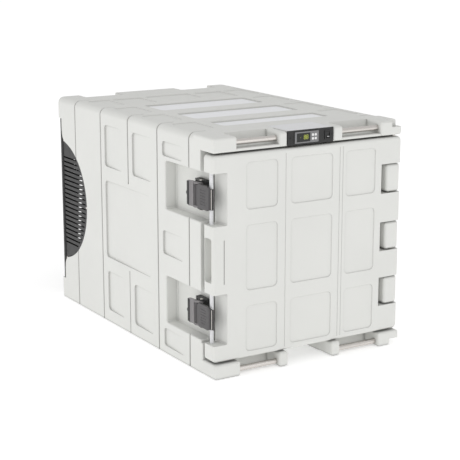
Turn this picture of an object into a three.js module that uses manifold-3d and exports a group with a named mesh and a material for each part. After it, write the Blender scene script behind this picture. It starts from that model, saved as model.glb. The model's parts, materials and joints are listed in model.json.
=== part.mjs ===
// Front-opening insulated transport container with a compressor cooling unit behind its rear cover.
// Millimetres, +Z up, +X to the right of somebody who faces the door, +Y from the door to the rear.
// The parts are drawn with y = 0 on the door's face; the exported group moves them so that the
// origin is the bottom centre of the whole container.

import * as THREE from 'three';
import { mergeVertices } from 'three/addons/utils/BufferGeometryUtils.js';
import Module from 'manifold-3d';

const wasm = await Module();
wasm.setup();

// ---- driving dimensions ----
const WIDTH = 640;
const HEIGHT = 675;
const DEPTH = 985; // door face to rear
const FOOT_PROUD = 10; // base blocks ahead of the door face
const HALF = WIDTH / 2;
const MID_Z = 337; // height that doors, latches and hinges are mirrored about
const EDGE_RADIUS = 20;
const SKIN = 6; // rotomoulded wall
const SKID_SKIN = 8;
const THICK_SKIN = 10; // the roof's, under its ribs
const GAP = 0.3; // between pieces that touch
const PAST = 1; // how far a cutting tool runs past the face it opens

const BODY_FRONT = 68;
const UNDERSIDE = 43;
const HEADER_BOTTOM = 633;
const LEDGE_TOP = 641;

const DOOR = { bottom: 46, top: 628, thick: 50 };
const LATCH_RISE = 169; // of each latch above or below the middle
const LATCH_Z = { upper: MID_Z + LATCH_RISE, lower: MID_Z - LATCH_RISE };
const HINGE_Z = { upper: MID_Z + 170, middle: MID_Z - 2, lower: MID_Z - 169 };
const HINGE = { x: 302, y: 18, pin: 6, bore: 6.1 };
const RECESS_DEPTH = 37; // latch recess, in from the side

const CABIN = { half: 240, bottom: 99, top: 575, back: 700, wall: 4 };
const LINER = {
  half: CABIN.half + CABIN.wall,
  bottom: CABIN.bottom - CABIN.wall,
  top: CABIN.top + CABIN.wall,
  back: CABIN.back + CABIN.wall,
};
const BULKHEAD = { front: 760, back: 766 };
const BAY = { half: 308, bottom: 60, top: 632 };
const COVER = { front: 961.3, back: 974, bottom: 68.5, top: 606.5 };
const GRILLE = { y: 984, z: 338, radius: 198 };

const POST = { left: [-106, -80], right: [75, 109] };
const HEADER_BLOCK = { left: -243, right: 244 };
const FOOT_BLOCK = { left: -237, right: 246 };
const FOOT = [76, 106]; // inner feet, from the middle
const BAR = { radius: 8, y: 22, topZ: 656, baseY: 12, baseZ: 14 };
const POCKET_BACK = 60; // of the base hand-holds
const REAR_POCKET = { front: 925, barY: 964, inner: 110, outer: 246 };
const PIN_NOTCH = { x: 283, y: 31, top: 656, bottom: 19 };

// ---- controls, between the header's posts ----
const FASCIA = { left: -79.7, right: 74.7, front: 1.5, back: 4.5 };
const COVER_PLATE = { left: -76, right: 75, front: 5, back: 110, thick: 3 };
const CONTROLLER = { left: -52.3, right: 18.3, back: 40, bottom: 640.2, top: 667.8 };
const SWITCH_BOX = { left: 47.2, right: 63.8, back: 26, bottom: 644.2, top: 664.8 };

// ---- materials ----
function paint(color, roughness, metalness = 0) {
  return new THREE.MeshStandardMaterial({ color, roughness, metalness });
}
const MATERIAL = {
  shell: paint(0xdedfda, 0.55),
  liner: paint(0xeeeeea, 0.45),
  foam: paint(0xe6d9a8, 0.9),
  black: paint(0x242323, 0.5),
  latch: paint(0x4c4a4a, 0.5),
  rubber: paint(0x1b1b1b, 0.8),
  steel: paint(0xb9b6b2, 0.3, 1),
  galvanised: paint(0x9a9c9d, 0.45, 1),
  aluminium: paint(0xc4c6c8, 0.4, 1),
  copper: paint(0xb06a3c, 0.35, 1),
  enamel: paint(0x18191b, 0.35, 0.4),
  bezel: paint(0x77797b, 0.45),
  display: paint(0x0b0d0b, 0.15),
  button: paint(0xf2f2f0, 0.5),
  plate: paint(0xdcdcdd, 0.4),
};

// ---- solids ----
function solid(geometry) {
  const bare = geometry.clone();
  for (const name of Object.keys(bare.attributes)) {
    if (name !== 'position') bare.deleteAttribute(name);
  }
  const merged = mergeVertices(bare, 1e-4);
  return new wasm.Manifold(new wasm.Mesh({
    numProp: 3,
    vertProperties: new Float32Array(merged.attributes.position.array),
    triVerts: new Uint32Array(merged.index.array),
  }));
}

function box(x0, x1, y0, y1, z0, z1) {
  const geometry = new THREE.BoxGeometry(x1 - x0, y1 - y0, z1 - z0);
  geometry.translate((x0 + x1) / 2, (y0 + y1) / 2, (z0 + z1) / 2);
  return solid(geometry);
}

// A cylinder whose axis runs along 'x', 'y' or 'z' from `from` to `to`; a and b are the other two
// coordinates in x, y, z order.
function rod(axis, a, b, from, to, radius, segments = 20) {
  const geometry = new THREE.CylinderGeometry(radius, radius, to - from, segments);
  const middle = (from + to) / 2;
  if (axis === 'x') geometry.rotateZ(Math.PI / 2).translate(middle, a, b);
  if (axis === 'y') geometry.translate(a, middle, b);
  if (axis === 'z') geometry.rotateX(Math.PI / 2).translate(a, b, middle);
  return solid(geometry);
}

function outline(points) {
  return new THREE.Shape(points.map(([a, b]) => new THREE.Vector2(a, b)));
}

function roundedOutline(a0, a1, b0, b1, radius) {
  const shape = new THREE.Shape();
  shape.moveTo(a0 + radius, b0);
  shape.lineTo(a1 - radius, b0);
  shape.absarc(a1 - radius, b0 + radius, radius, -Math.PI / 2, 0);
  shape.lineTo(a1, b1 - radius);
  shape.absarc(a1 - radius, b1 - radius, radius, 0, Math.PI / 2);
  shape.lineTo(a0 + radius, b1);
  shape.absarc(a0 + radius, b1 - radius, radius, Math.PI / 2, Math.PI);
  shape.lineTo(a0, b0 + radius);
  shape.absarc(a0 + radius, b0 + radius, radius, Math.PI, 1.5 * Math.PI);
  return shape;
}

function extrude(shape, depth) {
  return new THREE.ExtrudeGeometry(shape, { depth, bevelEnabled: false, curveSegments: 4 });
}

// An outline in the plan (x, y) drawn up from z0 to z1.
function prismZ(shape, z0, z1) {
  const geometry = extrude(shape, z1 - z0);
  geometry.translate(0, 0, z0);
  return solid(geometry);
}

// An outline in the front view (x, z) drawn back from y0 to y1.
function prismY(shape, y0, y1) {
  const geometry = extrude(shape, y1 - y0);
  geometry.rotateX(Math.PI / 2).translate(0, y1, 0);
  return solid(geometry);
}

// An outline in the side view (y, z) drawn across from x0 to x1.
function prismX(shape, x0, x1) {
  const geometry = extrude(shape, x1 - x0);
  geometry.rotateX(Math.PI / 2).rotateZ(Math.PI / 2).translate(x0, 0, 0);
  return solid(geometry);
}

const join = (...solids) => solids.reduce((sum, next) => sum.add(next));
const cut = (base, ...tools) => tools.reduce((left, tool) => left.subtract(tool), base);
const bothSides = (make) => join(make(-1), make(1));
const sorted = (a, b) => (a < b ? [a, b] : [b, a]);

const container = new THREE.Group();

function place(name, shape, material) {
  const { vertProperties, triVerts } = shape.getMesh();
  const geometry = new THREE.BufferGeometry();
  geometry.setAttribute('position', new THREE.Float32BufferAttribute(vertProperties, 3));
  geometry.setIndex(new THREE.Uint32BufferAttribute(triVerts, 1));
  geometry.computeVertexNormals();
  const mesh = new THREE.Mesh(geometry, material);
  mesh.name = name;
  container.add(mesh);
}

// ---- rotomoulded body ----
const RECESS = { half: 71, floorEnd: 264, sideEnd: 267 }; // its rear wall has a little draft
const latchRecess = (z, grow) => prismZ(outline([
  [-HALF - PAST, BODY_FRONT - PAST - grow],
  [-HALF + RECESS_DEPTH + grow, BODY_FRONT - PAST - grow],
  [-HALF + RECESS_DEPTH + grow, RECESS.floorEnd + grow],
  [-HALF - PAST, RECESS.sideEnd + grow],
]), z - RECESS.half - grow, z + RECESS.half + grow);

const recesses = (grow) => join(latchRecess(LATCH_Z.upper, grow), latchRecess(LATCH_Z.lower, grow));

function foamSpace(shrink) {
  const front = BODY_FRONT + SKIN + shrink;
  const back = BULKHEAD.front - shrink;
  const main = box(
    -HALF + SKIN + shrink, HALF - SKIN - shrink, front, back,
    UNDERSIDE + SKIN + shrink, HEIGHT - THICK_SKIN - shrink,
  );
  const skids = bothSides((side) => {
    const x0 = side * (FOOT[0] + SKID_SKIN + shrink);
    const x1 = side * (HALF - SKID_SKIN - shrink);
    return box(...sorted(x0, x1), front, back, SKID_SKIN + shrink, UNDERSIDE + THICK_SKIN);
  });
  return cut(join(main, skids), recesses(SKIN + shrink));
}

function header() {
  const root = 90; // how far back the blocks run into the tub
  const recessed = FASCIA.back + 0.3;
  return join(
    box(-HALF, HEADER_BLOCK.left, 0, root, HEADER_BOTTOM, HEIGHT),
    box(HEADER_BLOCK.right, HALF, 0, root, HEADER_BOTTOM, HEIGHT),
    box(...POST.left, 0, root, HEADER_BOTTOM, HEIGHT),
    box(...POST.right, 0, root, HEADER_BOTTOM, HEIGHT),
    box(-HALF + 10, HALF - 10, recessed, root, HEADER_BOTTOM, LEDGE_TOP),
    box(POST.left[1] - 1, POST.right[0] + 1, recessed, root, HEADER_BOTTOM, HEIGHT),
  );
}

function base() {
  const root = 90;
  const blocks = [
    [-HALF, FOOT_BLOCK.left], [-FOOT[1], -FOOT[0]], [FOOT[0], FOOT[1]], [FOOT_BLOCK.right, HALF],
  ];
  const skids = bothSides((side) => {
    const [x0, x1] = sorted(side * FOOT[0], side * HALF);
    return box(x0, x1, POCKET_BACK, DEPTH, 0, UNDERSIDE + 30);
  });
  return join(skids, ...blocks.map(([x0, x1]) => box(x0, x1, -FOOT_PROUD, root, 0, UNDERSIDE)));
}

// Room for the cooling unit, up into the roof and down into the skids between the hand-holds.
function bay() {
  const open = DEPTH + PAST;
  const pocketWall = REAR_POCKET.front - SKID_SKIN;
  return join(
    box(-BAY.half, BAY.half, BULKHEAD.back, open, BAY.bottom, BAY.top),
    box(-BAY.half, BAY.half, BULKHEAD.back, pocketWall, BAY.bottom, HEIGHT - THICK_SKIN),
    bothSides((side) => {
      const [x0, x1] = sorted(side * (FOOT[0] + SKID_SKIN), side * (HALF - SKID_SKIN));
      return box(x0, x1, BULKHEAD.back, pocketWall, SKID_SKIN, BAY.bottom + PAST);
    }),
  );
}

function rearPockets() {
  return bothSides((side) => {
    const [x0, x1] = sorted(side * REAR_POCKET.inner, side * REAR_POCKET.outer);
    return join(
      box(x0, x1, REAR_POCKET.front, DEPTH + PAST, LEDGE_TOP, HEIGHT + PAST),
      box(x0, x1, REAR_POCKET.front, DEPTH + PAST, -PAST, UNDERSIDE - SKID_SKIN),
    );
  });
}

// Seat of the rear cover, with the half-round openings for its wings.
function coverSeat() {
  const side = HALF + PAST;
  const open = DEPTH + PAST;
  const vents = rod('x', GRILLE.y, GRILLE.z, -side, side, GRILLE.radius, 48);
  return join(
    box(-side, side, COVER.front - GAP, open, COVER.bottom - 0.5, COVER.top + 0.5),
    vents.intersect(box(-side, side, BULKHEAD.back, open, BAY.bottom, BAY.top)),
  );
}

function controlSeats() {
  return join(
    box(
      FASCIA.left - 0.6, FASCIA.right + 0.6, -PAST, FASCIA.back + GAP,
      HEADER_BOTTOM - PAST, HEIGHT + PAST,
    ),
    box(
      COVER_PLATE.left - GAP, COVER_PLATE.right + GAP, FASCIA.back, COVER_PLATE.back + GAP,
      HEIGHT - COVER_PLATE.thick - GAP, HEIGHT + PAST,
    ),
    box(
      CONTROLLER.left - 0.7, CONTROLLER.right + 0.7, FASCIA.back, CONTROLLER.back + 6,
      CONTROLLER.bottom - 0.7, CONTROLLER.top + 0.7,
    ),
    box(
      SWITCH_BOX.left - 0.7, SWITCH_BOX.right + 0.7, FASCIA.back, SWITCH_BOX.back + 4,
      SWITCH_BOX.bottom - 0.7, SWITCH_BOX.top + 0.7,
    ),
  );
}

function bodyShell() {
  const tubOutline = roundedOutline(-HALF, HALF, UNDERSIDE, HEIGHT, EDGE_RADIUS);
  const tub = prismY(tubOutline, BODY_FRONT, DEPTH);
  const mouth = box(
    -LINER.half - GAP, LINER.half + GAP, BODY_FRONT - PAST, BODY_FRONT + SKIN + PAST,
    LINER.bottom - GAP, LINER.top + GAP,
  );
  const pinNotches = join(
    box(PIN_NOTCH.x, HALF + PAST, -20, PIN_NOTCH.y, PIN_NOTCH.top, HEIGHT + PAST),
    box(PIN_NOTCH.x, HALF + PAST, -20, PIN_NOTCH.y, -PAST, PIN_NOTCH.bottom),
    rod('z', HINGE.x, HINGE.y, 10, HEIGHT, HINGE.pin + GAP, 32),
  );
  const barBores = BARS.map(({ x0, x1, y, z }) => (
    rod('x', y, z, x0 - 0.5, x1 + 0.5, BAR.radius + GAP, 16)
  ));
  return cut(
    join(tub, header(), base()),
    rearPockets(), bay(), coverSeat(), mouth, controlSeats(), pinNotches, ...barBores,
    recesses(0), foamSpace(0),
  );
}

const BAR_BITE = 8; // how far a bar's end sits in its socket
const FRONT_BARS = [
  ['handle_bar_top_left', HEADER_BLOCK.left, POST.left[0], BAR.y, BAR.topZ],
  ['handle_bar_top_right', POST.right[1], HEADER_BLOCK.right, BAR.y, BAR.topZ],
  ['handle_bar_base_left', FOOT_BLOCK.left, -FOOT[1], BAR.baseY, BAR.baseZ],
  ['handle_bar_base_right', FOOT[1], FOOT_BLOCK.right, BAR.baseY, BAR.baseZ],
];
const REAR_BARS = [['top', BAR.topZ], ['base', BAR.baseZ]].flatMap(([level, z]) => (
  [['left', -1], ['right', 1]].map(([hand, side]) => {
    const [x0, x1] = sorted(side * REAR_POCKET.inner, side * REAR_POCKET.outer);
    return [`handle_bar_rear_${level}_${hand}`, x0, x1, REAR_POCKET.barY, z];
  })
));
const BARS = [...FRONT_BARS, ...REAR_BARS].map(([name, x0, x1, y, z]) => (
  { name, x0: x0 - BAR_BITE, x1: x1 + BAR_BITE, y, z }
));

place('body_shell', bodyShell(), MATERIAL.shell);
for (const { name, x0, x1, y, z } of BARS) {
  place(name, rod('x', y, z, x0, x1, BAR.radius, 16), MATERIAL.steel);
}

const SHELF_RIB = { rises: [-130, 0, 130], front: 108, back: 600, half: 6, proud: 6 };

function innerLiner() {
  const { half, bottom, top, back } = CABIN;
  const outside = box(-LINER.half, LINER.half, BODY_FRONT, LINER.back, LINER.bottom, LINER.top);
  const hollow = box(-half, half, BODY_FRONT - PAST, back, bottom, top);
  const ribs = SHELF_RIB.rises.map((rise) => bothSides((side) => {
    const [x0, x1] = sorted(side * (half - SHELF_RIB.proud), side * (half + PAST));
    const z = MID_Z + rise;
    return box(x0, x1, SHELF_RIB.front, SHELF_RIB.back, z - SHELF_RIB.half, z + SHELF_RIB.half);
  }));
  return join(cut(outside, hollow), ...ribs);
}
place('inner_liner', innerLiner(), MATERIAL.liner);

place('body_foam', cut(foamSpace(GAP), box(
  -LINER.half - GAP, LINER.half + GAP, 0, LINER.back + GAP,
  LINER.bottom - GAP, LINER.top + GAP,
)), MATERIAL.foam);

// ---- hinge ----
const KNUCKLE_HALF = 43.5; // half the height of a hinge notch in the door
for (const [label, z] of Object.entries(HINGE_Z)) {
  const column = prismZ(roundedOutline(270, 318, 2, 90, 12), z - KNUCKLE_HALF + 2, z + KNUCKLE_HALF - 2);
  const lug = cut(
    column,
    box(200, 400, BODY_FRONT - GAP, 100, 0, HEIGHT),
    rod('z', HINGE.x, HINGE.y, 0, HEIGHT, HINGE.pin + GAP, 32),
  );
  place(`hinge_lug_${label}`, lug, MATERIAL.shell);
}
place('hinge_pin', rod('z', HINGE.x, HINGE.y, 12, 654, HINGE.pin, 32), MATERIAL.steel);

// ---- door ----
// Depths of the notches at the door's face and at its back; the latches' are in from the side.
const LATCH_NOTCH = { half: 73, front: 45.5, back: RECESS_DEPTH - 1 };
const HINGE_NOTCH = { front: 246, back: 268 };
const doorNotches = (grow) => {
  const latch = Object.values(LATCH_Z).map((z) => prismZ(
    outline([
      [-HALF - PAST, -PAST], [-HALF + LATCH_NOTCH.front + grow, -PAST],
      [-HALF + LATCH_NOTCH.back + grow, DOOR.thick + PAST], [-HALF - PAST, DOOR.thick + PAST],
    ]),
    z - LATCH_NOTCH.half - grow, z + LATCH_NOTCH.half + grow,
  ));
  const hinge = Object.values(HINGE_Z).map((z) => prismZ(
    outline([
      [HINGE_NOTCH.front - grow, -PAST], [HALF + PAST, -PAST],
      [HALF + PAST, DOOR.thick + PAST], [HINGE_NOTCH.back - grow, DOOR.thick + PAST],
    ]),
    z - KNUCKLE_HALF - grow, z + KNUCKLE_HALF + grow,
  ));
  return join(...latch, ...hinge);
};
const gripPocket = (grow) => box(
  -HALF - 1, -292 + grow, 10 - grow, 46 + grow, 273 - grow, 398 + grow,
);
const PLUG = { half: 233, bottom: 106, top: 568, back: 84, wall: 4 };
const WINDOW = { half: 222, bottom: 117, top: 557 };

function doorFoamSpace(shrink) {
  const core = box(
    -HALF + SKIN + shrink, 278 - shrink, SKIN + shrink, DOOR.thick - SKIN - shrink,
    DOOR.bottom + SKIN + shrink, DOOR.top - SKIN - shrink,
  );
  return cut(core, doorNotches(SKIN + shrink), gripPocket(SKIN - 1 + shrink));
}

const doorWindow = (shrink) => box(
  -WINDOW.half + shrink, WINDOW.half - shrink, DOOR.thick - SKIN - 1, DOOR.thick + 5,
  WINDOW.bottom + shrink, WINDOW.top - shrink,
);
const plugHollow = (shrink) => box(
  -PLUG.half + PLUG.wall + shrink, PLUG.half - PLUG.wall - shrink,
  DOOR.thick + 4, PLUG.back - PLUG.wall - shrink,
  PLUG.bottom + PLUG.wall + shrink, PLUG.top - PLUG.wall - shrink,
);

const KEEPER = { x: -303, y: 37, radius: 5.5, bite: 5 }; // bite: how far each end sits in the door
function keeper(z, bite, radius) {
  const half = LATCH_NOTCH.half + bite;
  return rod('z', KEEPER.x, KEEPER.y, z - half, z + half, radius);
}
const keeperBores = Object.values(LATCH_Z).map((z) => (
  keeper(z, KEEPER.bite + 2, KEEPER.radius + GAP)
));

const doorSlab = prismY(roundedOutline(-HALF, HALF, DOOR.bottom, DOOR.top, 12), 0, DOOR.thick);
place('door_shell', cut(
  doorSlab, doorNotches(0), gripPocket(0), doorFoamSpace(0), doorWindow(0),
  ...keeperBores,
  rod('z', HINGE.x, HINGE.y, 0, HEIGHT, HINGE.bore, 32),
), MATERIAL.shell);
place('door_foam', join(doorFoamSpace(GAP), doorWindow(GAP), plugHollow(GAP)), MATERIAL.foam);
place('door_inner_panel', cut(
  box(-PLUG.half, PLUG.half, DOOR.thick + GAP, PLUG.back, PLUG.bottom, PLUG.top),
  plugHollow(0), doorWindow(0),
), MATERIAL.liner);
place('door_gasket', cut(
  prismY(roundedOutline(-262, 262, 77, 597, 14), DOOR.thick + GAP, BODY_FRONT - GAP),
  prismY(roundedOutline(-246, 246, 93, 581, 6), DOOR.thick - 1, BODY_FRONT + 1),
), MATERIAL.rubber);
for (const [label, z] of Object.entries(LATCH_Z)) {
  place(`latch_keeper_${label}`, keeper(z, KEEPER.bite, KEEPER.radius), MATERIAL.plate);
}

// ---- latches: a lever on a bracket pin, and a claw hinged on the lever ----
const LEVER_PIVOT = { x: -HALF + 15, y: 88, radius: 3, bore: 3.1, half: 43 };
const CLAW_PIVOT = { x: -HALF + 5, y: 102, radius: 2.2, bore: 2.28, half: 35 };
const LATCH = { claw: 34, lever: 36, cheek: 30, ear: [37, 41] };
const CLAW = { skin: -HALF + 4.5, thick: 4, nose: 13, front: 26, back: 85, boss: 4.3 };

function bothCheeks(make, inner, outer, z) {
  return join(make(z - outer, z - inner), make(z + inner, z + outer));
}

// A pivot's pin, or with another radius the bore for it, through the latch at height z.
function pivotRod({ x, y, half }, z, radius) {
  return rod('z', x, y, z - half, z + half, radius);
}

function latchBracket(z) {
  const back = -HALF + RECESS_DEPTH - GAP;
  const plate = box(back - 5, back, 74, 114, z - LATCH.ear[1], z + LATCH.ear[1]);
  const ears = bothCheeks((z0, z1) => join(
    rod('z', LEVER_PIVOT.x, LEVER_PIVOT.y, z0, z1, 6),
    prismZ(outline([
      [LEVER_PIVOT.x, 82], [back - 4, 76], [back - 4, 104], [LEVER_PIVOT.x, 94],
    ]), z0, z1),
  ), ...LATCH.ear, z);
  return cut(join(plate, ears), pivotRod(LEVER_PIVOT, z, LEVER_PIVOT.radius + GAP));
}

function latchLever(z) {
  const tab = prismZ(outline([
    [-HALF + 4.5, 107], [-HALF + 9.5, 107], [-HALF + 5.5, 139], [-HALF + 0.5, 139],
  ]), z - LATCH.lever, z + LATCH.lever);
  const cheeks = bothCheeks((z0, z1) => join(
    rod('z', LEVER_PIVOT.x, LEVER_PIVOT.y, z0, z1, 5.5),
    rod('z', CLAW_PIVOT.x, CLAW_PIVOT.y, z0, z1, 4.3),
    prismZ(outline([
      [CLAW_PIVOT.x - 3.5, CLAW_PIVOT.y - 2.5], [LEVER_PIVOT.x - 4.5, LEVER_PIVOT.y - 3],
      [LEVER_PIVOT.x + 4.5, LEVER_PIVOT.y + 3], [-HALF + 9.5, 110], [-HALF + 2.5, 110],
    ]), z0, z1),
  ), LATCH.cheek, LATCH.lever, z);
  return cut(
    join(tab, cheeks),
    pivotRod(LEVER_PIVOT, z, LEVER_PIVOT.bore),
    pivotRod({ ...CLAW_PIVOT, half: LATCH.lever + PAST }, z, CLAW_PIVOT.radius + GAP),
  );
}

function latchClaw(z) {
  const inside = CLAW.skin + CLAW.thick;
  const hook = inside + 1.3;
  const knuckleHalf = LATCH.cheek - 0.5;
  return cut(
    join(
      box(CLAW.skin, inside, CLAW.front, CLAW.back, z - LATCH.claw, z + LATCH.claw),
      prismZ(outline([
        [CLAW.skin, CLAW.front], [hook - 2, CLAW.nose], [hook, CLAW.nose],
        [hook, CLAW.front + 5], [CLAW.skin, CLAW.front + 5],
      ]), z - LATCH.claw, z + LATCH.claw),
      box(CLAW.skin, inside, CLAW.back - PAST, CLAW_PIVOT.y - 1, z - knuckleHalf, z + knuckleHalf),
      rod('z', CLAW_PIVOT.x, CLAW_PIVOT.y, z - knuckleHalf, z + knuckleHalf, CLAW.boss),
    ),
    pivotRod(CLAW_PIVOT, z, CLAW_PIVOT.bore),
  );
}

for (const [label, z] of Object.entries(LATCH_Z)) {
  const leverPin = pivotRod(LEVER_PIVOT, z, LEVER_PIVOT.radius);
  const clawPin = pivotRod(CLAW_PIVOT, z, CLAW_PIVOT.radius);
  place(`latch_bracket_${label}`, latchBracket(z), MATERIAL.black);
  place(`latch_pivot_pin_${label}`, leverPin, MATERIAL.steel);
  place(`latch_lever_${label}`, latchLever(z), MATERIAL.latch);
  place(`latch_claw_pin_${label}`, clawPin, MATERIAL.steel);
  place(`latch_claw_${label}`, latchClaw(z), MATERIAL.latch);
}

// ---- fascia, controller and switch ----
const BUTTON = { size: 7, xs: [3, 12.5], zs: [648.7, 659.3], front: -2.6, back: 3, pocket: 6, play: 0.25 };
const DISPLAY = { left: -51, right: -6, bottom: 642, top: 666, front: -0.8, back: 0.7 };
const BEZEL = { left: -57, right: 23, bottom: 638, top: 670, front: -1.5, back: 1.2 };
const SWITCH = { x0: 45, x1: 66, z0: 641, z1: 668, front: -0.3, pivotY: 1.2, tilt: -8 };

function throughFascia({ left, right, bottom, top }) {
  return box(left - GAP, right + GAP, 0, 6, bottom - GAP, top + GAP);
}
place('control_fascia', cut(
  box(FASCIA.left, FASCIA.right, FASCIA.front, FASCIA.back, HEADER_BOTTOM + 0.5, HEIGHT),
  throughFascia(CONTROLLER),
  throughFascia(SWITCH_BOX),
), MATERIAL.black);
place('control_cover', box(
  COVER_PLATE.left, COVER_PLATE.right, COVER_PLATE.front, COVER_PLATE.back,
  HEIGHT - COVER_PLATE.thick, HEIGHT,
), MATERIAL.plate);

function button(x, z, front, back, half) {
  return box(x - half, x + half, front, back, z - half, z + half);
}
const buttonHoles = BUTTON.xs.flatMap((x) => BUTTON.zs.map((z) => (
  button(x, z, BUTTON.front - PAST, BUTTON.pocket, BUTTON.size / 2 + BUTTON.play)
)));
place('controller_case', cut(
  join(
    prismY(roundedOutline(BEZEL.left, BEZEL.right, BEZEL.bottom, BEZEL.top, 3), BEZEL.front, BEZEL.back),
    box(
      CONTROLLER.left, CONTROLLER.right, BEZEL.back - 0.2, CONTROLLER.back,
      CONTROLLER.bottom, CONTROLLER.top,
    ),
  ),
  box(
    DISPLAY.left - GAP, DISPLAY.right + GAP, BEZEL.front - PAST, DISPLAY.back + GAP,
    DISPLAY.bottom - GAP, DISPLAY.top + GAP,
  ),
  ...buttonHoles,
), MATERIAL.bezel);
place('controller_display', box(
  DISPLAY.left, DISPLAY.right, DISPLAY.front, DISPLAY.back, DISPLAY.bottom, DISPLAY.top,
), MATERIAL.display);
const BUTTON_NAMES = [['button_set', 'button_down'], ['button_power', 'button_up']];
BUTTON.xs.forEach((x, column) => BUTTON.zs.forEach((z, row) => {
  const cap = button(x, z, BUTTON.front, BUTTON.back, BUTTON.size / 2);
  place(BUTTON_NAMES[column][row], cap, MATERIAL.button);
}));

const switchOutline = roundedOutline(SWITCH.x0, SWITCH.x1, SWITCH.z0, SWITCH.z1, 2);
place('switch_frame', cut(
  join(
    prismY(switchOutline, SWITCH.front, BEZEL.back),
    box(
      SWITCH_BOX.left, SWITCH_BOX.right, BEZEL.back - 0.2, SWITCH_BOX.back,
      SWITCH_BOX.bottom, SWITCH_BOX.top,
    ),
  ),
  box(49, 62, -2, 14, 645, 664),
), MATERIAL.black);
// The rocker's side view around its pivot: a shallow valley in front, a wedge behind.
const rockerOutline = outline([[-2.3, -8.4], [0.6, 0], [-2.3, 8.4], [7, 6.5], [7, -6.5]]);
const rocker = prismX(rockerOutline, 49.6, 61.4)
  .rotate([SWITCH.tilt, 0, 0])
  .translate([0, SWITCH.pivotY, (SWITCH.z0 + SWITCH.z1) / 2]);
place('power_switch', rocker, MATERIAL.black);

// ---- rear cover ----
const SLOT = { pitch: 15, height: 5, count: 20, rearXs: [-190, 0, 190], rearHalf: 85, edge: 14 };
const WING = { outer: 4, inner: 8, radius: GRILLE.radius - 2 }; // outer, inner: in from the side
const INLET = { left: -262, right: -208, front: 950, back: 976, bottom: 90, top: 130 };

function slotRow(row) {
  const z = GRILLE.z + (row - (SLOT.count - 1) / 2) * SLOT.pitch;
  const low = z - SLOT.height / 2;
  const high = z + SLOT.height / 2;
  const chord = Math.sqrt(WING.radius ** 2 - (z - GRILLE.z) ** 2);
  const wings = box(
    -HALF - PAST, HALF + PAST, GRILLE.y - chord + SLOT.edge, COVER.front - 5, low, high,
  );
  const rear = SLOT.rearXs.map((x) => (
    box(x - SLOT.rearHalf, x + SLOT.rearHalf, COVER.front - 2, COVER.back + PAST, low, high)
  ));
  return join(wings, ...rear);
}

function rearCover() {
  const { front, back, bottom, top } = COVER;
  const wall = 4;
  const pan = cut(
    box(-HALF + 0.5, HALF - 0.5, front, back, bottom, top),
    box(-HALF + wall, HALF - wall, front - PAST, back - wall, bottom + wall, top - wall),
  );
  const wings = bothSides((side) => {
    const [x0, x1] = sorted(side * (HALF - WING.inner), side * (HALF - WING.outer));
    const disc = rod('x', GRILLE.y, GRILLE.z, x0, x1, WING.radius, 48);
    return disc.intersect(box(x0 - 1, x1 + 1, BULKHEAD.back, front + 1, 0, HEIGHT));
  });
  const roots = bothSides((side) => {
    const [x0, x1] = sorted(side * (HALF - WING.inner), side * (HALF - 1));
    return box(x0, x1, front, back - 1, GRILLE.z - WING.radius + 2, GRILLE.z + WING.radius - 2);
  });
  const slots = Array.from({ length: SLOT.count }, (_, row) => slotRow(row));
  const inletHole = box(
    INLET.left - GAP, INLET.right + GAP, front - PAST, back + PAST,
    INLET.bottom - GAP, INLET.top + GAP,
  );
  return cut(join(pan, wings, roots), ...slots, inletHole);
}
place('rear_cover', rearCover(), MATERIAL.black);

const sockets = [-247, -223].map((x) => box(x - 8, x + 8, 962, INLET.back + PAST, 98, 122));
place('power_inlet', cut(
  box(INLET.left, INLET.right, INLET.front, INLET.back, INLET.bottom, INLET.top),
  ...sockets,
), MATERIAL.black);

// ---- cooling unit in the rear bay ----
const TRAY = { half: 292, front: 776, back: 948, bottom: 60.5, top: 82, wall: 2 };
place('base_tray', cut(
  box(-TRAY.half, TRAY.half, TRAY.front, TRAY.back, TRAY.bottom, TRAY.top),
  box(
    -TRAY.half + TRAY.wall, TRAY.half - TRAY.wall, TRAY.front + TRAY.wall, TRAY.back - TRAY.wall,
    TRAY.bottom + TRAY.wall, TRAY.top + PAST,
  ),
), MATERIAL.galvanised);

const COMPRESSOR = { x: -120, y: 862, bottom: 78, footX: 65, footY: 27, footRadius: 9 };
// Half section of the pot: radius and height above its bottom.
const POT = [[0, 0], [52, 0], [58, 8], [60, 60], [60, 100], [52, 128], [34, 142], [0, 148]];
const pot = new THREE.LatheGeometry(POT.map(([r, h]) => new THREE.Vector2(r, h)), 28);
pot.rotateX(Math.PI / 2).translate(COMPRESSOR.x, COMPRESSOR.y, COMPRESSOR.bottom);

function compressor() {
  const { x, y, bottom, footX, footY, footRadius } = COMPRESSOR;
  const feet = [-1, 1].flatMap((across) => [-1, 1].map((along) => rod(
    'z', x + across * footX, y + along * footY,
    TRAY.bottom + TRAY.wall + 0.5, bottom - 3, footRadius, 16,
  )));
  const plate = box(
    x - footX - 10, x + footX + 10, y - footY - 10, y + footY + 10, bottom - 4, bottom + 2,
  );
  return join(solid(pot), plate, ...feet);
}
place('compressor', compressor(), MATERIAL.enamel);

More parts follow.
